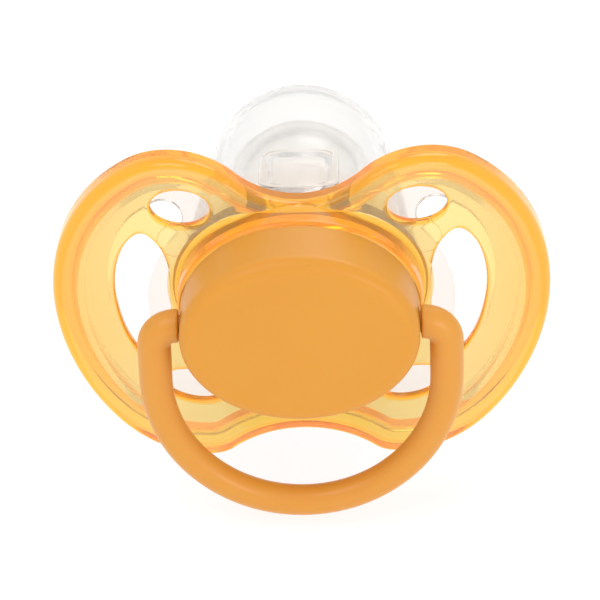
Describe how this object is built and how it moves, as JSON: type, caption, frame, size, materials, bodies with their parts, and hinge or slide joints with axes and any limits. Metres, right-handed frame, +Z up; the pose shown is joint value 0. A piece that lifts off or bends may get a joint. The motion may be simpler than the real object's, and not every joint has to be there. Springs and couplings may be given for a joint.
{
  "type": "baby pacifier with cap",
  "caption": "Pacifier: butterfly shield with vents, oval knob, swinging ring handle, hollow round teat and a clear push-on cap.",
  "frame": {"origin": "centre of the shield's rear face on the teat's axis", "axes": "+Z up to the nose notch, -Y to the front knob, +Y along the teat, +X across the shield to its right as seen from the front"},
  "size_m": [0.0564, 0.0509, 0.04],
  "materials": {
    "amber_shell": "glossy translucent amber plastic",
    "orange_gloss": "semi-gloss opaque orange plastic",
    "orange_satin": "satin opaque orange plastic",
    "clear_silicone": "soft translucent silicone",
    "clear_insert": "clear rigid plastic",
    "clear_cap": "clear polished plastic"
  },
  "bodies": {
    "soother": {"shield": "amber_shell", "knob": "orange_gloss", "teat": "clear_silicone", "teat_plug": "clear_insert"},
    "ring": {"ring_handle": "orange_satin"},
    "cap": {"protective_cap": "clear_cap"}
  },
  "joints": [
    {"name": "ring_swing", "type": "hinge", "parent": "soother", "child": "ring", "pos_m": [0, -0.00865, 0], "axis": [-1, 0, 0], "range_deg": [-12, 190]},
    {"name": "cap_pull", "type": "slide", "parent": "soother", "child": "cap", "axis": [0, 1, 0], "range_m": [0, 0.045]}
  ]
}
